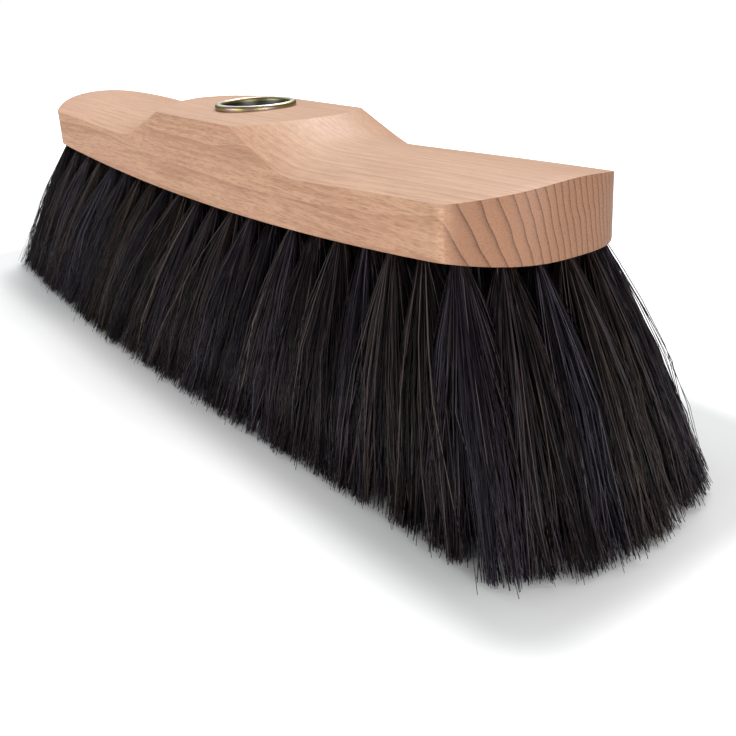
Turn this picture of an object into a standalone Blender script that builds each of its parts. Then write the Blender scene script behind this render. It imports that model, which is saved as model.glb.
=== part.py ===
# Horsehair broom head: a saddle-shaped beech block, a screw socket for the handle
# and crosswise rows of hair tufts. Lengths in metres, +Z up, +X along the block.
import bpy
import bmesh
import math
import random

mm = 0.001

# block, seen from above
halfLength = 132.3 * mm        # middle of the block to the corner line of an end
endBow = 18.8 * mm             # how far an end swells past its corner line
midHalfWidth = 25.6 * mm
endHalfWidth = 27.3 * mm
cornerRadius = 8 * mm

# block, seen from the side, heights over the underside at the ends
saddleHeight = 22.3 * mm
saddleReach = 26.8 * mm          # middle of the block to the head of the ramp, at the sides
saddleCrown = 1.3 * mm
rampFoot = 58.6 * mm           # middle of the block to the foot of the ramp
rampEase = 0.8 * mm            # how much the hollow at the foot is filled
easeReach = 8 * mm             # either side of the foot, where facets are narrow
footCrown = 7.5 * mm           # swell of the ramp across the block
wingHeight = 9.2 * mm          # where the lines of ramp and wing cross, at the sides
wingRise = 4.8 * mm            # from there to the end
endCrown = 5.0 * mm            # swell of the wing across the block, at the end
undersideBow = 6.2 * mm
edgeRadius = 1.2 * mm
undersideChamfer = 0.8 * mm

# pocket that takes the rows
pocketWall = 3.4 * mm
pocketDepth = 4 * mm
seatGap = 0.3 * mm
overrun = 2 * mm

# handle socket
socketBore = 23.4 * mm
socketWall = 1.1 * mm
socketDepth = 19 * mm          # below the saddle
rimWidth = 1.4 * mm            # past the tube, all round
rimHeight = 2.0 * mm
rimRound = 0.8 * mm
spotFaceDepth = 0.6 * mm
socketSegments = 48

# rows of hair
rowPitch = 12 * mm
tuftsPerRow = 5
strandsAlong = 2
strandsAcross = 2
hairDrop = 59.7 * mm           # floor to the underside at the ends
stripMargin = 0.4 * mm         # wood beside the outermost strands of a strip
endFlare = 31 * mm             # how far the tips stand out past the corner line
tipBow = 20 * mm
midFlare = 27 * mm             # and past the long sides
cornerFlare = 18.7 * mm
strandPitch = 2.3 * mm         # between the strands of a tuft, at the root
rootRadius = 0.95 * mm
waistRadius = 1.15 * mm
tipRadius = 1.35 * mm
strandSides = 3
rootSunk = 1 * mm
outwardShare = 1.02            # tufts of the outer rows stand a little nearer the ends
tipScatter = 0.9 * mm
floorCut = 0.5 * mm            # taken off the tips so that they end flat
waistDropShare = 0.45          # height of a strand's bend, from the root
waistSpreadShare = 0.5         # part of the spread that it has reached there

rowCount = round(2 * halfLength / rowPitch)
tipHalfLength = halfLength + endFlare
tipMidHalfWidth = midHalfWidth + midFlare
tipEndHalfWidth = endHalfWidth + cornerFlare

alongShares = [3, 4, 6, 9]     # facets on half the saddle, the ramp, its foot and the wing
acrossFacets = 14
stripFacets = 4


def bulge(v):
    # how far the ends of the block, and of the sole, stand out at a share v of the width
    return 1 - abs(v) ** 3


def blockHalfWidth(x):
    return midHalfWidth - (midHalfWidth - endHalfWidth) * (x / halfLength) ** 2


def undersideHeight(x):
    return -undersideBow * (1 - min(abs(x) / halfLength, 1) ** 2)


def saddleTop(v):
    return saddleHeight + saddleCrown * (1 - v * v)


def scoopTop(x, v):
    # a straight ramp and a rising wing, eased into each other and crowned across
    past = (abs(x) - rampFoot) / (halfLength - rampFoot)
    wing = wingHeight + wingRise * past * (3 - past) / 2
    ramp = wingHeight + (saddleHeight - wingHeight) * (rampFoot - abs(x)) / (rampFoot - saddleReach)
    edge = (ramp + wing) / 2 + math.hypot((ramp - wing) / 2, rampEase)
    crown = footCrown - (footCrown - endCrown) * max(past, 0)
    return edge + crown * (1 - v * v)


def crestAt(v):
    # where the crowned ramp meets the saddle, closed in on by halves
    near, far = 0, rampFoot
    for step in range(40):
        middle = (near + far) / 2
        if scoopTop(middle, v) > saddleTop(v):
            near = middle
        else:
            far = middle
    return near


def roundCorner(x, y, inset):
    # pull a point toward the round of the nearest corner of the outline
    radius = max(cornerRadius - inset, 0)
    if radius == 0:
        return x, y
    lean = math.atan2(3 * endBow, endHalfWidth)
    openAngle = math.pi / 2 + lean
    reach = radius / math.sin(openAngle / 2)
    middle = openAngle / 2
    cornerX, cornerY = halfLength - inset, endHalfWidth - inset
    centreX = cornerX - reach * math.cos(middle)
    centreY = cornerY - reach * math.sin(middle)
    dx, dy = abs(x) - centreX, abs(y) - centreY
    turn = math.atan2(dy, dx)
    if lean < turn < math.pi / 2:
        off = math.pi / 2 - turn if turn > middle else turn - lean
        pull = math.cos(off)
        dx, dy = dx * pull, dy * pull
    return math.copysign(centreX + dx, x), math.copysign(centreY + dy, y)


def stations(v, inset):
    # places along the block at one share v of its width, from end to end
    end = halfLength + endBow * bulge(v) - inset
    keys = [0, crestAt(v), rampFoot - easeReach, rampFoot + easeReach, end]
    half = []
    for part, count in enumerate(alongShares):
        for step in range(count):
            half.append(keys[part] + (keys[part + 1] - keys[part]) * step / count)
    half.append(end)
    return [-x for x in reversed(half[1:])] + half


def planGrid(inset, rounded=True):
    grid = []
    for j in range(acrossFacets + 1):
        v = 2 * j / acrossFacets - 1
        row = []
        for x in stations(v, inset):
            y = v * (blockHalfWidth(x) - inset)
            row.append((roundCorner(x, y, inset) if rounded else (x, y)) + (v,))
        grid.append(row)
    return grid


def edgeOf(grid):
    # the border of a grid, once round
    near, far = grid[0], grid[-1]
    right = [row[-1] for row in grid[1:-1]]
    left = [row[0] for row in grid[1:-1]]
    return near + right + far[::-1] + left[::-1]


def addObject(name, mesh, collection, material):
    thing = bpy.data.objects.new(name, mesh)
    collection.objects.link(thing)
    if material:
        mesh.materials.append(material)
    return thing


def plainMaterial(name, colour, roughness, metallic):
    material = bpy.data.materials.new(name)
    material.use_nodes = True
    shader = material.node_tree.nodes["Principled BSDF"]
    shader.inputs["Base Color"].default_value = colour
    shader.inputs["Roughness"].default_value = roughness
    shader.inputs["Metallic"].default_value = metallic
    material.diffuse_color = colour
    return material


def cutWith(target, cutter):
    change = target.modifiers.new(cutter.name, "BOOLEAN")
    change.operation = "DIFFERENCE"
    change.solver = "EXACT"
    change.object = cutter


def shadeRound(mesh, angle):
    for face in mesh.polygons:
        face.use_smooth = True
    mesh.set_sharp_from_angle(angle=angle)


def buildBlock(collection, cutters, lift, material):
    work = bmesh.new()

    def ring(points):
        return [work.verts.new((x, y, z + lift)) for x, y, z in points]

    def skin(a, b):
        count = len(a)
        for k in range(count):
            work.faces.new((a[k], a[(k + 1) % count], b[(k + 1) % count], b[k]))

    def sheet(grid, height, flip):
        rows = [[work.verts.new((x, y, height(x, v) + lift)) for x, y, v in line] for line in grid]
        for j in range(len(rows) - 1):
            for i in range(len(rows[0]) - 1):
                face = [rows[j][i], rows[j][i + 1], rows[j + 1][i + 1], rows[j + 1][i]]
                work.faces.new(face[::-1] if flip else face)
        return rows

    def topHeight(x, v):
        return saddleTop(v) if abs(x) < crestAt(v) else scoopTop(x, v)

    top = sheet(planGrid(edgeRadius), topHeight, False)
    last = edgeOf(top)
    for step in (1, 2, 3):
        turn = math.pi / 2 * step / 3
        inset = edgeRadius * (1 - math.sin(turn))
        drop = edgeRadius * (1 - math.cos(turn))
        border = edgeOf(planGrid(inset))
        now = ring([(x, y, topHeight(x, v) - drop) for x, y, v in border])
        skin(now, last)
        last = now
    for inset, lower in ((0, undersideChamfer), (undersideChamfer, 0)):
        border = edgeOf(planGrid(inset))
        now = ring([(x, y, undersideHeight(x) + lower) for x, y, v in border])
        skin(now, last)
        last = now
    border = edgeOf(planGrid(pocketWall, False))
    now = ring([(x, y, undersideHeight(x)) for x, y, v in border])
    skin(now, last)
    ceiling = sheet(planGrid(pocketWall, False), lambda x, v: undersideHeight(x) + pocketDepth, True)
    skin(edgeOf(ceiling), now)

    bmesh.ops.recalc_face_normals(work, faces=work.faces)
    mesh = bpy.data.meshes.new("block")
    work.to_mesh(mesh)
    work.free()
    shadeRound(mesh, math.radians(35))
    block = addObject("block", mesh, collection, material)

    tubeRadius = socketBore / 2 + socketWall
    seat = lift + saddleHeight + saddleCrown - spotFaceDepth
    profile = [
        (0, seat + overrun),
        (tubeRadius + rimWidth + seatGap, seat + overrun),
        (tubeRadius + rimWidth + seatGap, seat),
        (tubeRadius + seatGap, seat),
        (tubeRadius + seatGap, seat - socketDepth - seatGap),
        (0, seat - socketDepth - seatGap),
    ]
    bore = addObject("socket_hole", revolve("socket_hole", profile), cutters, None)
    bore.hide_render = True
    bore.display_type = "WIRE"
    cutWith(block, bore)
    return block


def revolve(name, profile):
    # turn a closed profile, or one that ends on the axis, about Z
    work = bmesh.new()
    closed = profile[0][0] > 0
    rings = []
    for radius, height in profile:
        if radius == 0:
            rings.append([work.verts.new((0, 0, height))])
            continue
        turns = [2 * math.pi * k / socketSegments for k in range(socketSegments)]
        rings.append([work.verts.new((radius * math.cos(turn), radius * math.sin(turn), height))
                      for turn in turns])
    pairs = list(zip(rings, rings[1:] + rings[:1]))
    for a, b in pairs if closed else pairs[:-1]:
        for k in range(socketSegments):
            nextOne = (k + 1) % socketSegments
            corners = [a[k % len(a)], a[nextOne % len(a)], b[nextOne % len(b)], b[k % len(b)]]
            face = list(dict.fromkeys(corners))
            if len(face) > 2:
                work.faces.new(face)
    bmesh.ops.recalc_face_normals(work, faces=work.faces)
    mesh = bpy.data.meshes.new(name)
    work.to_mesh(mesh)
    work.free()
    return mesh


def buildSocket(collection, lift, material):
    tubeRadius = socketBore / 2 + socketWall
    seat = lift + saddleHeight + saddleCrown - spotFaceDepth
    rimTop = seat + rimHeight + seatGap
    rimOuter = tubeRadius + rimWidth
    boreRadius = socketBore / 2
    profile = [(boreRadius, seat - socketDepth), (tubeRadius, seat - socketDepth),
               (tubeRadius, seat + seatGap), (rimOuter, seat + seatGap)]
    for step in (0, 1, 2):
        turn = math.pi / 2 * step / 2
        profile.append((rimOuter - rimRound * (1 - math.cos(turn)),
                        rimTop - rimRound * (1 - math.sin(turn))))
    for step in (2, 1, 0):
        turn = math.pi / 2 * step / 2
        profile.append((boreRadius + rimRound * (1 - math.cos(turn)),
                        rimTop - rimRound * (1 - math.sin(turn))))
    mesh = revolve("handle_socket", profile)
    shadeRound(mesh, math.radians(35))
    return addObject("handle_socket", mesh, collection, material)


def stripPlace(u, v, inset):
    # share u of the pocket's length and v of its width to a place on the underside
    reach = halfLength - inset
    bow = endBow * bulge(v) * u * u
    x = u * (reach + bow)
    return x, v * (blockHalfWidth(x) - inset)


def tipPlace(u, v):
    bow = tipBow * bulge(v) * u * u
    halfWidth = tipMidHalfWidth - (tipMidHalfWidth - tipEndHalfWidth) * u * u
    return u * (tipHalfLength + bow), v * halfWidth


def strand(work, root, waist, tip, radii, turn):
    rings = []
    for place, radius in zip((root, waist, tip), radii):
        rings.append([work.verts.new((place[0] + radius * math.cos(turn + 2 * math.pi * k / strandSides),
                                      place[1] + radius * math.sin(turn + 2 * math.pi * k / strandSides),
                                      place[2])) for k in range(strandSides)])
    for a, b in zip(rings, rings[1:]):
        for k in range(strandSides):
            nextOne = (k + 1) % strandSides
            work.faces.new((a[k], b[k], b[nextOne], a[nextOne]))
    work.faces.new(rings[0])
    work.faces.new(rings[-1][::-1])


def scatterShares():
    # how far each strand's tip strays, as shares; the second half of the broom is the
    # first turned half a turn, so that the whole keeps its middle over the origin
    chance = random.Random(22)
    total = rowCount * tuftsPerRow * strandsAlong * strandsAcross
    half = [(chance.uniform(-1, 1), chance.uniform(-1, 1), chance.uniform(0, 2 * math.pi))
            for k in range(total // 2)]
    return half + [(-dx, -dy, turn + math.pi) for dx, dy, turn in reversed(half)]


def buildRow(number, collection, cutters, lift, material, scatter):
    wall = pocketWall + seatGap
    first = 2 * number / rowCount - 1
    last = 2 * (number + 1) / rowCount - 1
    middle = (first + last) / 2
    half = seatGap / 2 / halfLength
    low = first + (half if number else 0)
    high = last - (half if number < rowCount - 1 else 0)

    # the strip is level, so it follows the bowed underside in small steps
    under = undersideHeight(stripPlace(middle, 1, wall)[0]) + lift
    inner = min(abs(stripPlace(low, 1, wall)[0]), abs(stripPlace(high, 1, wall)[0]))
    over = undersideHeight(inner) + pocketDepth - seatGap + lift

    work = bmesh.new()
    line = [2 * k / stripFacets - 1 for k in range(stripFacets + 1)]
    border = [stripPlace(high, v, wall) for v in line] + [stripPlace(low, v, wall) for v in line[::-1]]
    bottom = [work.verts.new((x, y, under)) for x, y in border]
    top = [work.verts.new((x, y, over)) for x, y in border]
    count = len(border)
    for k in range(count):
        nextOne = (k + 1) % count
        work.faces.new((bottom[k], bottom[nextOne], top[nextOne], top[k]))
    work.faces.new(bottom[::-1])
    work.faces.new(top)
    bmesh.ops.recalc_face_normals(work, faces=work.faces)
    mesh = bpy.data.meshes.new("tuft_row_%02d" % (number + 1))
    work.to_mesh(mesh)
    work.free()
    row = addObject("tuft_row_%02d" % (number + 1), mesh, collection, material)

    hair = bmesh.new()
    place = number * tuftsPerRow * strandsAlong * strandsAcross
    reach = wall + stripMargin + rootRadius + strandPitch * (strandsAcross - 1) / 2
    for t in range(tuftsPerRow):
        share = (2 * t + 1) / tuftsPerRow - 1
        rootV = share * tuftsPerRow / (tuftsPerRow - 1)
        tuftX = stripPlace(middle * outwardShare, rootV, wall)[0]
        tuftY = rootV * (blockHalfWidth(tuftX) - reach)
        for a in range(strandsAlong):
            for b in range(strandsAcross):
                offA = (2 * a + 1) / strandsAlong - 1
                offB = (2 * b + 1) / strandsAcross - 1
                x = tuftX + offA * strandPitch * strandsAlong / 2
                y = tuftY + offB * strandPitch * strandsAcross / 2
                tipX, tipY = tipPlace(middle + offA * (last - first) / 2, share + offB / tuftsPerRow)
                strayX, strayY, turn = scatter[place]
                place += 1
                tipX += strayX * tipScatter
                tipY += strayY * tipScatter
                drop = under + floorCut
                waist = (x + (tipX - x) * waistSpreadShare, y + (tipY - y) * waistSpreadShare,
                         under - drop * waistDropShare)
                fall = (1 - waistSpreadShare) * floorCut / (drop * (1 - waistDropShare))
                tip = (tipX - (tipX - x) * fall, tipY - (tipY - y) * fall, 0)
                strand(hair, (x, y, under + rootSunk), waist, tip,
                       (rootRadius, waistRadius, tipRadius), turn)
    hairMesh = bpy.data.meshes.new("strands_%02d" % (number + 1))
    hair.to_mesh(hairMesh)
    hair.free()
    strands = addObject("strands_%02d" % (number + 1), hairMesh, cutters, None)
    strands.hide_render = True
    strands.display_type = "WIRE"
    join = row.modifiers.new("strands", "BOOLEAN")
    join.operation = "UNION"
    join.solver = "EXACT"
    join.object = strands
    return row


def main():
    for thing in list(bpy.data.objects):
        bpy.data.objects.remove(thing, do_unlink=True)
    scene = bpy.context.scene
    broom = bpy.data.collections.new("horsehair_broom")
    cutters = bpy.data.collections.new("cutters")
    scene.collection.children.link(broom)
    scene.collection.children.link(cutters)

    lift = hairDrop
    beech = plainMaterial("beech", (0.72, 0.50, 0.34, 1), 0.55, 0)
    zinc = plainMaterial("zinc_steel", (0.62, 0.58, 0.42, 1), 0.35, 1)
    horsehair = plainMaterial("horsehair", (0.015, 0.013, 0.014, 1), 0.5, 0)

    buildBlock(broom, cutters, lift, beech)
    buildSocket(broom, lift, zinc)
    scatter = scatterShares()
    for number in range(rowCount):
        buildRow(number, broom, cutters, lift, horsehair, scatter)


main()
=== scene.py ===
import math

import bpy
import numpy as np
from mathutils import Euler, Matrix, Vector


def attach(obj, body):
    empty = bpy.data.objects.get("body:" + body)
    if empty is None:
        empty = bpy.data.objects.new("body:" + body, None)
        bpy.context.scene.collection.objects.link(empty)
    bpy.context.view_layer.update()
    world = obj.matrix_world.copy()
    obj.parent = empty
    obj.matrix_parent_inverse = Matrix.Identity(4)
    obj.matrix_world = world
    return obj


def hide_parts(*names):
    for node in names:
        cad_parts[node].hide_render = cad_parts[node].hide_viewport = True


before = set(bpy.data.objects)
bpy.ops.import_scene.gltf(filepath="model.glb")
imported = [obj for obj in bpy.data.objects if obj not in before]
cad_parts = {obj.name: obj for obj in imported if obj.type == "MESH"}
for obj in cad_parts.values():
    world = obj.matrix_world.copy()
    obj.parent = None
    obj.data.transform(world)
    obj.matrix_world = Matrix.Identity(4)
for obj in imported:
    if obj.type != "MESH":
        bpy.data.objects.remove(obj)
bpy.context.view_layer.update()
mm = 0.001
slack = 0.01 * mm               # places nearer than this count as the same
print("frame loaded:", len(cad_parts), "nodes")


# helpers for modelling

def deselectAll():
    if bpy.context.object and bpy.context.object.mode != "OBJECT":
        bpy.ops.object.mode_set(mode="OBJECT")
    bpy.ops.object.select_all(action="DESELECT")


def selectOnly(thing):
    deselectAll()
    thing.select_set(True)
    bpy.context.view_layer.objects.active = thing


def justAdded(name):
    thing = bpy.context.object
    thing.name = name
    thing.data.name = name
    selectOnly(thing)
    bpy.ops.object.transform_apply(location=True, rotation=True, scale=True)
    return thing


def pick(thing, test, kind="VERT"):
    # selects what passes the test, and leaves edit mode open on it
    if thing.mode != "EDIT":
        bpy.ops.object.mode_set(mode="EDIT")
    bpy.ops.mesh.select_mode(type=kind)
    bpy.ops.mesh.select_all(action="DESELECT")
    bpy.ops.object.mode_set(mode="OBJECT")
    mesh = thing.data
    items = {"VERT": mesh.vertices, "EDGE": mesh.edges, "FACE": mesh.polygons}[kind]
    for item in items:
        if test(item):
            item.select = True
    bpy.ops.object.mode_set(mode="EDIT")


def outwards(thing):
    selectOnly(thing)
    bpy.ops.object.mode_set(mode="EDIT")
    bpy.ops.mesh.select_all(action="SELECT")
    bpy.ops.mesh.remove_doubles(threshold=slack)
    bpy.ops.mesh.normals_make_consistent(inside=False)
    bpy.ops.object.mode_set(mode="OBJECT")


def applyModifier(thing, kind, **settings):
    selectOnly(thing)
    change = thing.modifiers.new(kind.title(), kind)
    for key, value in settings.items():
        setattr(change, key, value)
    bpy.ops.object.modifier_apply(modifier=change.name)


def cutAway(thing, tool):
    applyModifier(thing, "BOOLEAN", operation="DIFFERENCE", solver="EXACT", object=tool)
    bpy.data.objects.remove(tool, do_unlink=True)


def smooth(thing, degrees):
    selectOnly(thing)
    bpy.ops.object.shade_smooth_by_angle(angle=math.radians(degrees))


# helpers for materials

class Wire:
    # a shader socket that can be added to, taken from and multiplied
    def __init__(self, tree, socket):
        self.tree, self.socket = tree, socket

    def math(self, operation, *others):
        node = self.tree.nodes.new("ShaderNodeMath")
        node.operation = operation
        for place, item in enumerate((self, *others)):
            if isinstance(item, Wire):
                self.tree.links.new(item.socket, node.inputs[place])
            else:
                node.inputs[place].default_value = item
        return Wire(self.tree, node.outputs[0])

    def flipped(self, operation, other):
        node = self.tree.nodes.new("ShaderNodeMath")
        node.operation = operation
        node.inputs[0].default_value = other
        self.tree.links.new(self.socket, node.inputs[1])
        return Wire(self.tree, node.outputs[0])

    def __add__(self, other):
        return self.math("ADD", other)

    def __sub__(self, other):
        return self.math("SUBTRACT", other)

    def __rsub__(self, other):
        return self.flipped("SUBTRACT", other)

    def __mul__(self, other):
        return self.math("MULTIPLY", other)

    def clamp(self):
        held = self.math("MULTIPLY", 1)
        held.socket.node.use_clamp = True
        return held

    def ramp(self, low, high):
        # 0 at the first value and 1 at the second, straight between them
        return ((self - low) * (1 / (high - low))).clamp()


class Finish:
    # one material and the nodes that it is made of
    def __init__(self, name, **sockets):
        self.material = bpy.data.materials.new(name)
        self.material.use_nodes = True
        self.tree = self.material.node_tree
        self.shader = self.tree.nodes["Principled BSDF"]
        for key, value in sockets.items():
            self.shader.inputs[key].default_value = value

    def node(self, kind, settings=None, out=0, **values):
        node = self.tree.nodes.new("ShaderNode" + kind)
        for key, value in (settings or {}).items():
            if key == "stops":
                while len(node.color_ramp.elements) < len(value):
                    node.color_ramp.elements.new(0.5)
                for element, (place, colour) in zip(node.color_ramp.elements, value):
                    element.position = place
                    element.color = (*colour, 1)
            else:
                setattr(node, key, value)
        for key, value in values.items():
            socket = node.inputs[int(key[1:])] if key[0] == "i" and key[1:].isdigit() else node.inputs[key]
            if isinstance(value, Wire):
                self.tree.links.new(value.socket, socket)
            else:
                socket.default_value = value
        return Wire(self.tree, node.outputs[out])

    def feed(self, wire, socket):
        self.tree.links.new(wire.socket, self.shader.inputs[socket])

    def split(self, vector):
        # the three components of a vector
        outputs = self.node("SeparateXYZ", Vector=vector).socket.node.outputs
        return [Wire(self.tree, output) for output in outputs]

    def length(self, vector):
        return self.node("VectorMath", {"operation": "LENGTH"}, out="Value", i0=vector)

    def noise(self, scale, detail, move=(0, 0, 0)):
        # its scale is in waves to a millimetre along each axis
        raw = self.node("TexCoord", out="Object")
        where = self.node("Mapping", i0=raw, i1=move, i3=tuple(k / mm for k in scale))
        return self.node("TexNoise", {"noise_dimensions": "3D"}, Vector=where, Scale=1.0, Detail=detail)

    def mix(self, factor, a, b):
        return self.node("Mix", {"data_type": "RGBA"}, out=2, i0=factor, i6=a, i7=b)

    def colour(self, value, stops):
        return self.node("ValToRGB", {"stops": stops}, Fac=value)

    def bump(self, height, distance, strength=1.0):
        return self.node("Bump", Height=height, Distance=distance, Strength=strength)


# beech

beechLook = {
    "light": (0.66, 0.385, 0.238, 1),
    "dark": (0.50, 0.265, 0.152, 1),
    "fleck": (0.25, 0.115, 0.06, 1),
    "blush": (0.60, 0.31, 0.20, 1),
    "endLight": (0.385, 0.192, 0.108, 1),
    "endLine": (0.11, 0.046, 0.025, 1),
    "roughness": 0.52,
    "nearSide": 27,             # from the middle, where the yearly rings start, in mm
    "level": 70,                # the height at which their lean doesn't shift them, in mm
    "lean": (0.30, 0.20),       # at the near side, and how much less at the far one
    "wander": 4,                # in mm
    "ringsPerMm": 0.31,
    "tightening": 1 / 270,
    "lateWood": 7.0,            # how sharp the dark line is that ends a ring
    "endward": (0.30, 0.50),    # how far along the block a face looks where end grain shows
    "upward": (0.80, 0.55),     # and how far up where it doesn't
    "sideways": (0.7, 0.3),     # how far up a face looks that counts as a long side
    "patterns": {               # waves to a mm, detail, shift, and the limits it is cut to
        "wander": ((0.010, 0.05, 0.05), 2.0, (0, 0, 0), None),
        "soft": ((0.012, 0.09, 0.09), 3.0, (0, 0, 0), None),
        "dashes": ((0.14, 1.9, 1.9), 1.0, (0, 0, 0), (0.50, 0.72)),
        "finer": ((0.30, 3.6, 3.6), 1.0, (31, 7, 3), (0.48, 0.74)),
        "streaks": ((0.028, 0.9, 0.9), 3.0, (5, 2, 8), None),
        "mottle": ((0.025, 0.07, 0.07), 2.0, (9, 4, 1), None),
        "blush": ((0.018, 0.05, 0.05), 1.0, (2, 6, 4), (0.45, 0.75)),
        "pores": ((1.5, 3.0, 4.2), 2.0, (0, 0, 0), (0.48, 0.72)),
    },
    "tone": (0.45, 0.4, 1.25, 0.2),         # weights of ring band, mottle, streaks and late wood
    "toneMiddle": 1.08,
    "toneBase": 0.40,
    "contrast": (1.6, 0.8),                 # on the top, and what a long side adds
    "blushShare": 0.55,
    "flecks": (0.30, 0.42),                 # weights of dashes and finer ones
    "fleckShare": (0.35, 0.65),             # on the top, and what a long side adds
    "endLines": (0.8, 0.34, 0.14),          # weights of late wood, pores and ring
    "relief": (-0.6, -0.3, -0.8, -0.5),     # of dashes, finer ones, and the end's late wood and pores
    "reliefDepth": 0.12 * mm,
    "reliefStrength": 0.5,
}


def makeBeech(look):
    wood = Finish("beech", Roughness=look["roughness"])
    raw = wood.node("TexCoord", out="Object")
    inMm = wood.node("VectorMath", {"operation": "SCALE"}, i0=raw, Scale=1 / mm)
    _, y, z = wood.split(inMm)
    pattern = {}
    for name, (scale, detail, move, limits) in look["patterns"].items():
        found = wood.noise(scale, detail, move)
        pattern[name] = found.ramp(*limits) if limits else found
    dashes, finer, pores = (pattern[name] for name in ("dashes", "finer", "pores"))

    # yearly rings run along the block, and lean more at its near side than at its far side
    fromSide = y + look["nearSide"]
    nearLean, lessLean = look["lean"]
    lean = nearLean - fromSide * (lessLean / (2 * look["nearSide"]))
    across = fromSide + lean * (z - look["level"]) + (pattern["wander"] - 0.5) * look["wander"]
    rings = across * look["ringsPerMm"] + across * across * look["tightening"]
    ring = rings.math("FRACT")
    lateWood = ring.math("POWER", look["lateWood"])
    band = ring * 0.5 + pattern["soft"] * 0.5

    slopes = wood.split(wood.node("NewGeometry", out="Normal"))
    endward, upward = (slopes[k].math("ABSOLUTE") for k in (0, 2))
    endGrain = endward.ramp(*look["endward"]) * upward.ramp(*look["upward"])
    sideways = upward.ramp(*look["sideways"])

    # short dark dashes along the grain and larger soft mottling, strongest on the long sides
    forBand, forMottle, forStreaks, forLate = look["tone"]
    tone = band * forBand + pattern["mottle"] * forMottle
    tone = tone + pattern["streaks"] * forStreaks + lateWood * forLate
    onTop, onSide = look["contrast"]
    tone = (tone - look["toneMiddle"]) * (sideways * onSide + onTop) + look["toneBase"]
    along = wood.mix(tone.clamp(), look["light"], look["dark"])
    along = wood.mix(pattern["blush"] * look["blushShare"], along, look["blush"])
    forDashes, forFiner = look["flecks"]
    onTop, onSide = look["fleckShare"]
    flecks = (dashes * forDashes + finer * forFiner) * (sideways * onSide + onTop)
    along = wood.mix(flecks.clamp(), along, look["fleck"])

    forLate, forPores, forRing = look["endLines"]
    lines = lateWood * forLate + pores * forPores + ring * forRing
    cut = wood.mix(lines.clamp(), look["endLight"], look["endLine"])
    wood.feed(wood.mix(endGrain, along, cut), "Base Color")
    forDashes, forFiner, forLate, forPores = look["relief"]
    relief = dashes * forDashes + finer * forFiner
    relief = relief + lateWood * endGrain * forLate + pores * endGrain * forPores
    wood.feed(wood.bump(relief, look["reliefDepth"], look["reliefStrength"]), "Normal")
    return wood.material


# plated steel

zincLook = {
    "plating": [                # stains of the passivated zinc
        (0.30, (0.44, 0.28, 0.22)), (0.42, (0.40, 0.32, 0.15)), (0.52, (0.34, 0.32, 0.15)),
        (0.62, (0.40, 0.28, 0.25)), (0.75, (0.34, 0.35, 0.28))],
    "patches": (0.12, 0.12, 0.12),
    # a painted highlight: the rim's upward faces are paled as if lit
    "paintedRimHighlight": (0.62, 0.60, 0.60, 1),
    "paintedRimHighlightWhere": (0.7, 1.0),    # how far up a face looks that gets the painted highlight of the rim's lit top
    "paintedRimHighlightShare": 0.7,
    # the colour of the painted shade in the bore's depth
    "inside": (0.07, 0.075, 0.08, 1),
    "boreShadeRadius": (0.01245, 0.0119),
    "boreShadeHeight": (0.0844, 0.0834),
    "boreShadeShare": 0.9,
    "scratches": (1.2, 1.2, 6.0),
    "roughness": (0.32, 0.2),   # the least, and what the scratches add
    "scratchDepth": 0.02 * mm,
    "scratchStrength": 0.4,
}


def makeZinc(look):
    steel = Finish("zinc_steel", Metallic=1.0)
    plating = steel.colour(steel.noise(look["patches"], 2.0), look["plating"])
    facing = steel.split(steel.node("NewGeometry", out="Normal"))[2]
    # the rim's top is paled toward light grey: a painted highlight
    plating = steel.mix(facing.ramp(*look["paintedRimHighlightWhere"]) * look["paintedRimHighlightShare"], plating, look["paintedRimHighlight"])

    # painted shade: the bore is darkened below its rounded mouth, where shade falls inside it
    raw = steel.node("TexCoord", out="Object")
    height = steel.split(raw)[2]
    flat = steel.node("VectorMath", {"operation": "MULTIPLY"}, i0=raw, i1=(1, 1, 0))
    inside = steel.length(flat).ramp(*look["boreShadeRadius"]) * height.ramp(*look["boreShadeHeight"])
    steel.feed(steel.mix(inside * look["boreShadeShare"], plating, look["inside"]), "Base Color")

    scratch = steel.noise(look["scratches"], 2.0)
    least, added = look["roughness"]
    steel.feed(scratch * added + least, "Roughness")
    steel.feed(steel.bump(scratch, look["scratchDepth"], look["scratchStrength"]), "Normal")
    return steel.material


# hair

hairLook = {
    "roughness": 0.42,
    "specular": 0.2,
    "cool": [                   # from the darkest hairs to the palest
        (0.00, (0.0008, 0.0006, 0.001)), (0.40, (0.010, 0.0075, 0.0125)), (0.75, (0.050, 0.041, 0.060)),
        (0.93, (0.085, 0.075, 0.095)), (1.00, (0.26, 0.24, 0.24))],
    "warm": [
        (0.00, (0.001, 0.0007, 0.0007)), (0.40, (0.013, 0.008, 0.0075)), (0.75, (0.062, 0.041, 0.034)),
        (0.93, (0.110, 0.078, 0.060)), (1.00, (0.30, 0.23, 0.16))],
}


def makeHair(look):
    hair = Finish("horsehair", Roughness=look["roughness"])
    hair.shader.inputs["Specular IOR Level"].default_value = look["specular"]
    tint = hair.node("Attribute", {"attribute_name": "tint"}, out="Fac")
    warmth = hair.node("Attribute", {"attribute_name": "warmth"}, out="Fac")
    cool = hair.colour(tint, look["cool"])
    warm = hair.colour(tint, look["warm"])
    hair.feed(hair.mix(warmth, cool, warm), "Base Color")
    return hair.material


beech = makeBeech(beechLook)
zinc = makeZinc(zincLook)
horsehair = makeHair(hairLook)
print("materials made")


# the block

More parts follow.
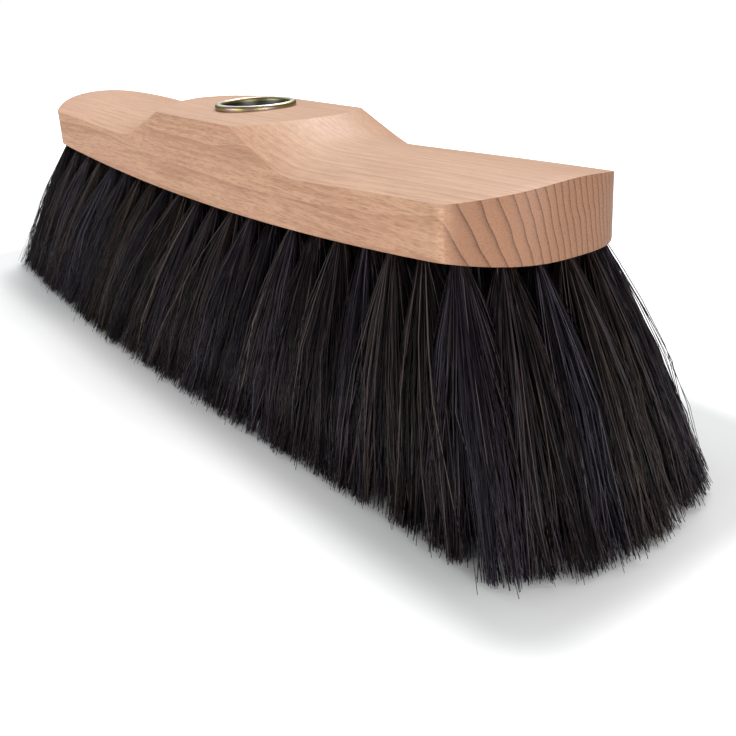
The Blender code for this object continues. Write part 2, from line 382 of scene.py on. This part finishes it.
block = {
    "lift": 59.7 * mm,          # floor to the underside at the ends
    "halfLength": 132.3 * mm,
    "endBow": 18.8 * mm,
    "midHalfWidth": 25.6 * mm,
    "endHalfWidth": 27.3 * mm,
    "saddle": 22.3 * mm,
    "saddleReach": 26.8 * mm,
    "saddleCrown": 1.3 * mm,
    "foot": 58.6 * mm,
    "ease": 2.0 * mm,
    "footCrown": 7.5 * mm,
    "wing": 9.2 * mm,
    "wingRise": 4.8 * mm,
    "endCrown": 5.0 * mm,
    "bow": 6.2 * mm,
    "corner": 8 * mm,
    "sideEdge": 1.8 * mm,
    "endEdge": 0.6 * mm,
    "crestEdge": 3.2 * mm,
    "across": 28,               # facets across
    "edgeSteps": 4,
    "cornerSteps": 6,
    "blank": 10 * mm,           # thickness of the box that it is shaped from
    "parting": 4 * mm,          # the height in it that parts its top from its underside
    "topCuts": [(8, 8, 3), (26, 1.5, 15), (48, 1.2, 18)],     # first, spacing and count, in mm
    "wingCuts": (12, 5.2, 13),  # the same, from the foot of the ramp
    "crestAngle": 9,            # degrees between the faces at a crest line
    "endReach": 3 * mm,         # how near to the corner line an edge counts as the end's
    "lying": 0.6,               # how far up a lying face looks at the least
    "standing": 0.2,            # and a standing one at the most
}


def pastFoot(x):
    return (abs(x) - block["foot"]) / (block["halfLength"] - block["foot"])


def sideProfile(x):
    # a straight ramp and a rising wing, eased into each other
    b = block
    wing = b["wing"] + b["wingRise"] * pastFoot(x) * (3 - pastFoot(x)) / 2
    ramp = b["wing"] + (b["saddle"] - b["wing"]) * (b["foot"] - abs(x)) / (b["foot"] - b["saddleReach"])
    return (ramp + wing) / 2 + math.hypot((ramp - wing) / 2, b["ease"])


def undersideAt(x):
    return -block["bow"] * (1 - min(abs(x) / block["halfLength"], 1) ** 2)


def halfWidthAt(x):
    waist = block["midHalfWidth"] - block["endHalfWidth"]
    return block["midHalfWidth"] - waist * (x / block["halfLength"]) ** 2


def shiftGroup(thing, test, key, change):
    # changes each group of vertices that share one place by its own amount
    groups = {}
    for vertex in thing.data.vertices:
        if test(vertex.co):
            groups.setdefault(round(key(vertex.co), 6), set()).add(vertex.index)
    for place, members in groups.items():
        pick(thing, lambda v: v.index in members)
        change(place)
        bpy.ops.object.mode_set(mode="OBJECT")


def makeBlock():
    b = block
    lift, middle = b["lift"], b["lift"] + b["parting"]
    deselectAll()
    bpy.ops.mesh.primitive_cube_add(size=1, location=(0, 0, lift + b["blank"] / 2))
    body = bpy.context.object
    body.scale = (2 * b["halfLength"], 2 * b["midHalfWidth"], b["blank"])
    body = justAdded("beechBlock")

    first, spacing, count = b["wingCuts"]
    cuts = b["topCuts"] + [(b["foot"] / mm + first, spacing, count)]
    half = [first + spacing * k for first, spacing, count in cuts for k in range(count)]
    bpy.ops.object.mode_set(mode="EDIT")
    for x in [0] + half + [-x for x in half]:
        bpy.ops.mesh.select_all(action="SELECT")
        bpy.ops.mesh.bisect(plane_co=(x * mm, 0, 0), plane_no=(1, 0, 0))
    for k in range(1, b["across"]):
        y = (2 * k / b["across"] - 1) * b["midHalfWidth"]
        bpy.ops.mesh.select_all(action="SELECT")
        bpy.ops.mesh.bisect(plane_co=(0, y, 0), plane_no=(0, 1, 0))
    bpy.ops.object.mode_set(mode="OBJECT")

    def onTop(co):
        return co.z > middle

    def below(co):
        return co.z < middle

    def bulge(y):
        return 1 - (y / b["midHalfWidth"]) ** 2

    def rounded(y):
        return 1 - abs(y / b["midHalfWidth"]) ** 3

    def up(amount):
        bpy.ops.transform.translate(value=(0, 0, amount))

    # the side profile, the crown of ramp and wing, and the bow of the underside
    shiftGroup(body, onTop, lambda co: co.x, lambda x: up(sideProfile(x) - b["blank"]))
    gain = b["footCrown"] - b["saddleCrown"]
    shiftGroup(body, onTop, lambda co: co.y, lambda y: up(gain * bulge(y)))

    def flatten(x):
        crown = b["footCrown"] - (b["footCrown"] - b["endCrown"]) * pastFoot(x)
        bpy.ops.transform.resize(value=(1, 1, (crown - b["saddleCrown"]) / gain),
                                 center_override=(x, 0, lift + sideProfile(x)))

    shiftGroup(body, lambda co: onTop(co) and abs(co.x) > b["foot"], lambda co: co.x, flatten)
    shiftGroup(body, below, lambda co: co.x, lambda x: up(undersideAt(x)))

    # plane the saddle flat, which leaves the bowed crest, then crown the whole top
    saddle = lift + b["saddle"]
    bpy.ops.object.mode_set(mode="EDIT")
    bpy.ops.mesh.select_all(action="SELECT")
    bpy.ops.mesh.bisect(plane_co=(0, 0, saddle), plane_no=(0, 0, 1))
    pick(body, lambda v: v.co.z > saddle - slack / 10)
    bpy.ops.transform.resize(value=(1, 1, 0), center_override=(0, 0, saddle))
    bpy.ops.object.mode_set(mode="OBJECT")
    shiftGroup(body, onTop, lambda co: co.y, lambda y: up(b["saddleCrown"] * bulge(y)))

    # bow the ends out, and widen the block a little toward them
    reach = b["halfLength"] - b["foot"]
    for side in (-1, 1):
        shiftGroup(body, lambda co: co.x * side > b["foot"] + slack, lambda co: co.y,
                   lambda y: bpy.ops.transform.resize(value=(1 + b["endBow"] * rounded(y) / reach, 1, 1),
                                                      center_override=(side * b["foot"], 0, 0)))
    shiftGroup(body, lambda co: True, lambda co: co.x,
               lambda x: bpy.ops.transform.resize(value=(1, halfWidthAt(x) / b["midHalfWidth"], 1),
                                                  center_override=(0, 0, 0)))

    # round the upright corners
    def corner(edge):
        a, c = (body.data.vertices[k].co for k in edge.vertices)
        return (abs(a.z - c.z) > b["blank"] / 2 and abs(a.x) > b["halfLength"] - 10 * slack
                and abs(a.y) > b["endHalfWidth"] - 10 * slack)

    slant = math.atan2(3 * b["endBow"], b["endHalfWidth"])
    pick(body, corner, "EDGE")
    bpy.ops.mesh.bevel(offset=b["corner"] * math.tan((math.pi / 2 - slant) / 2),
                       segments=b["cornerSteps"], affect="EDGES")
    bpy.ops.object.mode_set(mode="OBJECT")

    for which in ("crest", "end", "side"):
        easeEdges(body, which, b[which + "Edge"])
    outwards(body)
    return body


def easeEdges(body, which, size):
    # bevels the crest lines, or the edges round the top and underside
    b = block
    mesh = body.data
    normals = {}
    for face in mesh.polygons:
        for key in face.edge_keys:
            normals.setdefault(key, []).append(face.normal.copy())
    chosen = set()
    for edge in mesh.edges:
        a, c = normals[tuple(sorted(edge.vertices))]
        x = (mesh.vertices[edge.vertices[0]].co.x + mesh.vertices[edge.vertices[1]].co.x) / 2
        flat = min(abs(a.z), abs(c.z)) > b["lying"]
        if which == "crest":
            if flat and a.angle(c) > math.radians(b["crestAngle"]) and a.z > 0:
                chosen.add(edge.index)
        elif not flat and max(abs(a.z), abs(c.z)) > b["lying"] and min(abs(a.z), abs(c.z)) < b["standing"]:
            if (abs(x) > b["halfLength"] - b["endReach"]) == (which == "end"):
                chosen.add(edge.index)
    pick(body, lambda edge: edge.index in chosen, "EDGE")
    bpy.ops.mesh.bevel(offset=size, segments=b["edgeSteps"], affect="EDGES", clamp_overlap=True)
    bpy.ops.object.mode_set(mode="OBJECT")


beechBlock = makeBlock()
print("block shaped:", len(beechBlock.data.vertices), "vertices")


# tufts and their holes

tufts = {
    "rows": 22,
    "perRow": 5,
    "perEndRow": 7,             # the outermost rows, which follow the bowed ends
    "rootHalfLength": 133.5 * mm,     # to the outermost row's side tufts
    "rootBow": 12.5 * mm,       # and how much further its middle one stands
    "sideReach": 4.8 * mm,      # long side of the block to the outer tufts
    "holeRadius": 2.2 * mm,
    "holeDepth": 12 * mm,
    "holeOverrun": 3 * mm,      # the part of it that is drilled in the air
    "holeSides": 16,
    "evening": 0.12,            # moves the end rows' tufts outwards, to space them evenly
    "tipHalfLength": 165 * mm,
    "tipBow": 18.5 * mm,
    "bowPowers": (4, 2.4),      # how the tips' ends are rounded, on the far and the near side
    "tipMid": 51.4 * mm,
    "tipEnd": 42 * mm,
    "aside": -1.5 * mm,         # the hair leans a little to the near side
    "endAside": -4.8 * mm,      # and more so at the near end
    "endShear": -6.5 * mm,      # where it stands out less at the far side
    "hairs": 720,               # in a tuft of the outer rows, with fewer further in
    "innerShare": 0.42,
    "locks": 50,
    "overlap": 1.75,            # how far a tuft's locks reach over its own part of the sole
    "foldBack": 1.2,            # how far a lock past the sole's border is turned back in
    "leanReach": 12 * mm,       # the lean that puts a hair's root at the side of its hole
    "rootLean": 0.7,
    "rootScatter": 0.3,
    "rootFill": 0.75,           # the share of the hole's radius that the roots fill
    "rootHeight": 1 * mm,       # above the underside, in the hole
    "floorGap": 0.1 * mm,
    "lockScatter": 0.7,         # the amounts from here to the wave are in mm
    "lockShort": 0.35,
    "scatter": 0.6,
    "looseScatter": 2.2,
    "looseReach": 3.5,
    "short": 0.45,
    "stunted": 3,
    "bow": 1.5,
    "wave": 0.75,
    "looseShare": 0.12,
    "stuntedShare": 0.04,
    "opening": 0.1,             # how much sooner than straight a hair opens out
    "halfWaves": 3.4,           # along a hair
    "waveShift": 40,            # how much the tint shifts them, so that hairs differ
    "outerTint": 0.42,
    "farEndShadeTint": 0.05,           # added toward the near end and taken off toward the far one, a painted shade on the far end's hair
    # the inner tufts' tint is painted shade, for the block and the outer tufts shade them
    "innerShadeTint": 0.1,
    "tuftTint": 0.05,
    "lockTint": 0.15,
    "hairTint": 0.29,
    "tintLimit": 0.9,
    "pale": [(0.03, 0.94), (0.003, 1)],     # shares of pale hairs, and their tints
    "warmth": 0.4,
    "tuftWarmth": 0.22,
    "lockWarmth": 0.2,
    "thickness": 0.15 * mm,
    "thicknessRange": (0.75, 1.25),
    "taper": 0.6,               # a hair's thickness at its tip
    "bends": (0.12, 0.3, 0.5, 0.75),        # where it bends, in shares of its length
    "seed": 7,
}


def even(u, v):
    # spaces the tufts evenly round the bowed ends
    return np.sign(v) * np.abs(v) ** (1 - tufts["evening"] * u ** 4)


def rootPlace(u, v):
    t = tufts
    u = u * t["rows"] / (t["rows"] - 1)
    x = u * (t["rootHalfLength"] + t["rootBow"] * (1 - abs(v) ** 3) * u * u)
    return x, even(u, v) * (halfWidthAt(x) - t["sideReach"])


def tipPlace(u, v):
    t = tufts
    near = np.maximum(u, 0) ** 4
    drawnIn = np.abs(v) ** np.where(v > 0, *t["bowPowers"])
    x = u * (t["tipHalfLength"] + t["tipBow"] * (1 - drawnIn) * u * u) + t["endShear"] * v * near
    y = v * (t["tipMid"] - (t["tipMid"] - t["tipEnd"]) * u * u) + t["aside"] + t["endAside"] * near
    return np.stack([x, y], -1)


def countIn(row):
    return tufts["perEndRow"] if row in (0, tufts["rows"] - 1) else tufts["perRow"]


def drillHoles(body):
    t = tufts
    deselectAll()
    first = None
    for row in range(t["rows"]):
        for place in range(countIn(row)):
            x, y = rootPlace((2 * row + 1) / t["rows"] - 1, 2 * place / (countIn(row) - 1) - 1)
            z = block["lift"] + undersideAt(x) + t["holeDepth"] / 2 - t["holeOverrun"]
            if first is None:
                bpy.ops.mesh.primitive_cylinder_add(vertices=t["holeSides"], radius=t["holeRadius"],
                                                    depth=t["holeDepth"], location=(x, y, z))
                first = bpy.context.object
            else:
                twin = first.copy()
                twin.data = first.data.copy()
                twin.location = (x, y, z)
                bpy.context.collection.objects.link(twin)
                twin.select_set(True)
    first.select_set(True)
    bpy.context.view_layer.objects.active = first
    bpy.ops.object.join()
    cutAway(body, justAdded("drills"))


# the handle socket and its bore in the block

socket = {
    "bore": 11.7 * mm,
    "wall": 1.1 * mm,
    "rim": 1.4 * mm,
    "seat": 82.7 * mm,
    "seatGap": 0.3 * mm,
    "tubeGap": 0.15 * mm,       # between the tube and the wood
    "rise": 2.3 * mm,
    "round": 1.1 * mm,
    "roundRise": 1.1,           # the rounding's height, in shares of its width
    "roundSteps": 6,
    "footChamfer": 0.15 * mm,
    "depth": 19 * mm,
    "drillLength": 30 * mm,     # well past the saddle
    "facets": 96,
    "pitch": 4.5 * mm,
    "turns": 3.2,
    "stepsPerTurn": 64,
    "threadDepth": 0.75 * mm,
    "threadWidth": 0.55,        # in shares of the pitch
    "threadSides": 12,
    "threadStart": 2.5 * mm,    # above the tube's lower end
}


def boreHole(body):
    s = socket
    deselectAll()
    radius = s["bore"] + s["wall"] + s["tubeGap"]
    bottom = s["seat"] - s["depth"] - s["seatGap"]
    bpy.ops.mesh.primitive_cylinder_add(vertices=s["facets"], radius=radius, depth=s["drillLength"],
                                        location=(0, 0, bottom + s["drillLength"] / 2))
    cutAway(body, bpy.context.object)


drillHoles(beechBlock)
boreHole(beechBlock)
smooth(beechBlock, 30)
beechBlock.data.materials.clear()
beechBlock.data.materials.append(beech)
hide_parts("block")
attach(beechBlock, "root")
print("holes drilled")


def makeSocket():
    s = socket
    outer = s["bore"] + s["wall"]
    rim = outer + s["rim"]
    top = s["seat"] + s["rise"]
    foot = s["seat"] + s["seatGap"]
    low = s["seat"] - s["depth"]
    turns = [math.pi * k / (2 * s["roundSteps"]) for k in range(s["roundSteps"] + 1)]
    quarter = [(s["round"] * (1 - math.cos(turn)), top - s["round"] * s["roundRise"] * (1 - math.sin(turn)))
               for turn in turns]
    steps = [(outer, low), (outer, foot), (rim - s["footChamfer"], foot)]
    steps += [(rim - inward, z) for inward, z in quarter]
    steps += [(s["bore"] + inward, z) for inward, z in reversed(quarter)]
    steps.append((s["bore"], low))
    deselectAll()
    bpy.ops.mesh.primitive_circle_add(vertices=s["facets"], radius=outer, location=(0, 0, low))
    ring = justAdded("handleSocket")
    bpy.ops.object.mode_set(mode="EDIT")
    bpy.ops.mesh.select_all(action="SELECT")
    for (r0, z0), (r1, z1) in zip(steps, steps[1:]):
        bpy.ops.mesh.extrude_edges_move()
        bpy.ops.transform.resize(value=(r1 / r0, r1 / r0, 1), center_override=(0, 0, z0))
        bpy.ops.transform.translate(value=(0, 0, z1 - z0))
    pick(ring, lambda v: v.co.z < low + slack)
    bpy.ops.mesh.bridge_edge_loops()
    outwards(ring)
    smooth(ring, 40)
    return ring


def makeThread():
    # one rolled ridge, swept as a screw inside the bore
    s = socket
    deselectAll()
    bpy.ops.mesh.primitive_circle_add(vertices=s["threadSides"], radius=0.5, fill_type="NGON",
                                      location=(0, 0, 0), rotation=(math.pi / 2, 0, 0))
    ridge = justAdded("socketThread")
    bpy.ops.object.mode_set(mode="EDIT")
    bpy.ops.mesh.select_all(action="SELECT")
    bpy.ops.transform.resize(value=(2 * s["threadDepth"], 1, s["pitch"] * s["threadWidth"]))
    bpy.ops.transform.translate(value=(s["bore"], 0, s["seat"] - s["depth"] + s["threadStart"]))
    bpy.ops.mesh.delete(type="ONLY_FACE")
    bpy.ops.object.mode_set(mode="OBJECT")
    steps = int(s["stepsPerTurn"] * s["turns"])
    applyModifier(ridge, "SCREW", axis="Z", angle=2 * math.pi * s["turns"],
                  screw_offset=s["pitch"] * s["turns"], steps=steps, render_steps=steps,
                  use_merge_vertices=False)
    last = len(ridge.data.vertices) - s["threadSides"]
    for low in (0, last):       # closes both of its ends
        pick(ridge, lambda v: low <= v.index < low + s["threadSides"])
        bpy.ops.mesh.edge_face_add()
        bpy.ops.object.mode_set(mode="OBJECT")
    outwards(ridge)
    smooth(ridge, 50)
    return ridge


handleSocket = makeSocket()
socketThread = makeThread()
for piece in (handleSocket, socketThread):
    piece.data.materials.append(zinc)
    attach(piece, "root")
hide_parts("handle_socket")
print("socket turned and threaded")


# horsehair

def oneHair():
    # a single hair, one unit long and one thick, that every hair in the rows copies
    deselectAll()
    bpy.ops.mesh.primitive_cone_add(vertices=3, radius1=1, radius2=tufts["taper"], depth=1,
                                    location=(0, 0, 0.5))
    hair = justAdded("oneHair")
    bpy.ops.object.mode_set(mode="EDIT")
    for height in tufts["bends"]:
        bpy.ops.mesh.select_all(action="SELECT")
        bpy.ops.mesh.bisect(plane_co=(0, 0, height), plane_no=(0, 0, 1))
    bpy.ops.mesh.select_all(action="SELECT")
    bpy.ops.mesh.quads_convert_to_tris()
    bpy.ops.object.mode_set(mode="OBJECT")
    points = np.array([v.co[:] for v in hair.data.vertices])
    faces = np.array([f.vertices[:] for f in hair.data.polygons])
    bpy.data.objects.remove(hair, do_unlink=True)
    return points, faces


def foldedBack(shares):
    # shares past the border of the sole come to stand just inside it, or on it
    over = np.maximum(np.abs(shares) - 1, 0)
    return np.sign(shares) * (np.abs(shares) - over * tufts["foldBack"])


def growTuft(row, place, chance):
    # where each hair of a tuft starts and ends, how it bows and waves, its colour and its width
    t = tufts
    u = (2 * row + 1) / t["rows"] - 1
    across = countIn(row)
    share = (2 * place + 1) / across - 1
    x, y = rootPlace(u, 2 * place / (across - 1) - 1)
    outer = row in (0, t["rows"] - 1) or place in (0, across - 1)
    n = int(t["hairs"] * (1 if outer else t["innerShare"]) * t["perRow"] / across)
    locks = t["locks"]
    lockU = foldedBack(u + chance.uniform(-1, 1, locks) * t["overlap"] / t["rows"])
    lockV = foldedBack(share + chance.uniform(-1, 1, locks) * t["overlap"] / across)
    lockTip = tipPlace(lockU, lockV) + chance.normal(0, t["lockScatter"], (locks, 2)) * mm
    lockShort = np.abs(chance.normal(0, t["lockShort"], locks)) * mm
    lockTint = chance.normal(0, t["lockTint"], locks)
    lockWarmth = chance.normal(0, t["lockWarmth"], locks)
    lock = chance.integers(0, locks, n)

    tip = lockTip[lock] + chance.normal(0, t["scatter"], (n, 2)) * mm
    loose = chance.random(n) < t["looseShare"]
    astray = chance.normal(0, t["looseScatter"], (loose.sum(), 2))
    tip[loose] += np.clip(astray, -t["looseReach"], t["looseReach"]) * mm

    # a hair stands on the side of its hole that it leans to
    lean = (lockTip[lock] - tipPlace(u, share)) / t["leanReach"]
    lean /= np.maximum(np.hypot(*lean.T), 1)[:, None]
    inHole = lean * t["rootLean"] + chance.uniform(-t["rootScatter"], t["rootScatter"], (n, 2))
    root = np.array([x, y]) + inHole * t["holeRadius"] * t["rootFill"]
    short = lockShort[lock] + np.abs(chance.normal(0, t["short"], n)) * mm
    short[chance.random(n) < t["stuntedShare"]] += t["stunted"] * mm

    # painted shade: inner tufts get a much darker tint, and the far end's hair a slightly darker one
    tint = t["outerTint"] + t["farEndShadeTint"] * u if outer else t["innerShadeTint"]
    tint = tint + chance.normal(0, t["tuftTint"]) + lockTint[lock] + chance.normal(0, t["hairTint"], n)
    tint = np.clip(tint, 0, t["tintLimit"])
    for few, paleTint in t["pale"]:
        tint[chance.random(n) < few] = paleTint
    warmth = np.clip(t["warmth"] + chance.normal(0, t["tuftWarmth"]) + lockWarmth[lock], 0, 1)

    start = np.column_stack([root, np.full(n, block["lift"] + undersideAt(x) + t["rootHeight"])])
    end = np.column_stack([tip, t["floorGap"] + short])
    bow = chance.normal(0, t["bow"], (n, 2)) * mm
    wave = chance.normal(0, t["wave"], (n, 2)) * mm
    width = t["thickness"] * chance.uniform(*t["thicknessRange"], n)
    return start, end, bow, wave, tint, warmth, width


def growRow(row, shape, faces, chance):
    t = tufts
    grown = [growTuft(row, place, chance) for place in range(countIn(row))]
    start, end, bow, wave, tint, warmth, width = (np.concatenate(part) for part in zip(*grown))
    count = len(start)

    # the path down a hair: it opens out soon after its hole and runs straighter to its tip
    s = shape[:, 2][None, :, None]
    line = start[:, None, :2] + (end - start)[:, None, :2] * ((1 + t["opening"]) * s - t["opening"] * s * s)
    line = line + bow[:, None] * np.sin(math.pi * s)
    shift = tint[:, None, None] * t["waveShift"]
    line = line + wave[:, None] * np.sin(t["halfWaves"] * math.pi * s + shift) * s
    height = start[:, None, 2] + (end - start)[:, None, 2] * shape[:, 2][None]
    spin = chance.uniform(0, 2 * math.pi, count)[:, None]
    sx, sy = shape[:, 0][None], shape[:, 1][None]
    px = line[..., 0] + width[:, None] * (sx * np.cos(spin) - sy * np.sin(spin))
    py = line[..., 1] + width[:, None] * (sx * np.sin(spin) + sy * np.cos(spin))
    points = np.stack([px, py, height], 2).reshape(-1, 3)
    triangles = (faces[None] + (np.arange(count) * len(shape))[:, None, None]).reshape(-1, 3)

    # the single hair stands upward and these hang, so their faces are turned over
    triangles = triangles[:, ::-1]
    mesh = bpy.data.meshes.new("hairRow%02d" % (row + 1))
    mesh.vertices.add(len(points))
    mesh.vertices.foreach_set("co", points.astype(np.float32).ravel())
    mesh.loops.add(triangles.size)
    mesh.loops.foreach_set("vertex_index", triangles.astype(np.int32).ravel())
    mesh.polygons.add(len(triangles))
    mesh.polygons.foreach_set("loop_start", np.arange(0, triangles.size, 3, dtype=np.int32))
    mesh.polygons.foreach_set("use_smooth", np.ones(len(triangles), dtype=bool))
    mesh.update(calc_edges=True)
    for name, value in (("tint", tint), ("warmth", warmth)):
        mark = mesh.attributes.new(name, "FLOAT", "POINT")
        mark.data.foreach_set("value", np.repeat(value, len(shape)).astype(np.float32))
    mesh.materials.append(horsehair)
    piece = bpy.data.objects.new(mesh.name, mesh)
    bpy.context.scene.collection.objects.link(piece)
    return piece


hairShape, hairFaces = oneHair()
chance = np.random.default_rng(tufts["seed"])
for row in range(tufts["rows"]):
    hairRow = growRow(row, hairShape, hairFaces, chance)
    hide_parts("tuft_row_%02d" % (row + 1))
    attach(hairRow, "root")
print("hair grown, faces of the last row:", len(hairRow.data.polygons), "and of one hair:", len(hairFaces))


# the studio

studio = {
    "eye": (299.08 * mm, -164.01 * mm, 124.82 * mm),
    "yaw": 0.9399,
    "pitch": 0.3546,
    "roll": -0.0466,
    "lens": 46.255,
    "shift": (-0.0323, -0.0602),
    "paper": (0.78, 0.78, 0.78, 1),
    "floorLift": 0.35,
    "shadowCore": (181 * mm, 46.5 * mm),    # half the length and width of the hair's shadow
    "shadowFade": (8 * mm, 24 * mm),        # from its edge to where the paper turns white
    "haloFade": (0.02, 0.055),
    "haloLift": 0.2,
    "alongFade": (-0.02, 0.17),             # the painted fade lets the shadow reach further out at the far end
    "alongLift": (0.64, 0.56),              # the lift there, and what the near end adds
    "paperFade": (0.06, 0.4),
    "paperLift": 0.7,
    "sky": 0.09,
    "lampColour": {"leftBox": (0.86, 0.95, 1.0)},
    "lamps": {                  # place, aim, size and power
        "backBox": ((-0.35, 0.6, 1.1), (0, 0, 0.03), (0.8, 0.7), 16.6),
        "leftBox": ((-0.9, 0.1, 0.8), (0, 0, 0.03), (0.8, 0.7), 3.6),
        "sideBox": ((0.0, -1.0, 0.24), (0, 0, 0.06), (0.7, 0.35), 5.7),
        "frontBox": ((0.95, -0.12, 0.2), (0.1, 0, 0.06), (0.5, 0.35), 5.4),
    },
}


def makeStudio():
    data = bpy.data.cameras.new("camera")
    camera = bpy.data.objects.new("camera", data)
    bpy.context.scene.collection.objects.link(camera)
    data.sensor_width = 36
    data.lens = studio["lens"]
    data.shift_x, data.shift_y = studio["shift"]
    data.clip_start = 0.01
    level = Euler((math.pi / 2 - studio["pitch"], 0, studio["yaw"])).to_matrix()
    turn = level @ Matrix.Rotation(studio["roll"], 3, "Z")
    camera.location = studio["eye"]
    camera.rotation_euler = turn.to_euler()
    bpy.context.scene.camera = camera

    deselectAll()
    bpy.ops.mesh.primitive_plane_add(size=20, location=(0, 0, 0))
    floor = justAdded("floor")
    ground = Finish("white_floor", Roughness=0.9)
    ground.shader.inputs["Base Color"].default_value = studio["paper"]
    ground.shader.inputs["Specular IOR Level"].default_value = 0
    ground.shader.inputs["Emission Strength"].default_value = 1
    # painted shadow: the paper glows to white for the camera a little way off the hair, so that the shadow
    # stays close to it; the shadow is rendered, its reach and fade are painted by this glow
    raw = ground.node("TexCoord", out="Object")
    folded = ground.node("VectorMath", {"operation": "ABSOLUTE"}, i0=raw)
    past = ground.node("VectorMath", {"operation": "SUBTRACT"}, i0=folded, i1=(*studio["shadowCore"], 0))
    away = ground.length(ground.node("VectorMath", {"operation": "MAXIMUM"}, i0=past, i1=(0, 0, 0)))
    seen = ground.node("LightPath", out="Is Camera Ray")
    fade = away.ramp(*studio["shadowFade"])
    lift = fade * fade * (3 - fade * 2) * studio["floorLift"]
    lift = lift + away.ramp(*studio["haloFade"]) * studio["haloLift"]
    atFarEnd, nearer = studio["alongLift"]
    lift = lift * (ground.split(raw)[0].ramp(*studio["alongFade"]) * nearer + atFarEnd)
    lift = lift + away.ramp(*studio["paperFade"]) * studio["paperLift"]
    ground.feed(ground.mix(seen * lift, (0, 0, 0, 1), (1, 1, 1, 1)), "Emission Color")
    floor.data.materials.append(ground.material)

    world = bpy.data.worlds.new("studio")
    bpy.context.scene.world = world
    world.use_nodes = True
    tree = world.node_tree
    back = tree.nodes["Background"]
    back.inputs["Color"].default_value = (1, 1, 1, 1)
    seen = Wire(tree, tree.nodes.new("ShaderNodeLightPath").outputs["Is Camera Ray"])
    tree.links.new((seen * (1 - studio["sky"]) + studio["sky"]).socket, back.inputs["Strength"])

    for name, (place, aim, size, power) in studio["lamps"].items():
        light = bpy.data.lights.new(name, "AREA")
        light.color = studio["lampColour"].get(name, (1, 1, 1))
        light.shape = "RECTANGLE"
        light.size, light.size_y = size
        light.energy = power
        thing = bpy.data.objects.new(name, light)
        bpy.context.scene.collection.objects.link(thing)
        thing.location = place
        thing.rotation_euler = (Vector(aim) - Vector(place)).to_track_quat("-Z", "Y").to_euler()

    bpy.context.scene.view_settings.view_transform = "Standard"


makeStudio()
print("studio set")
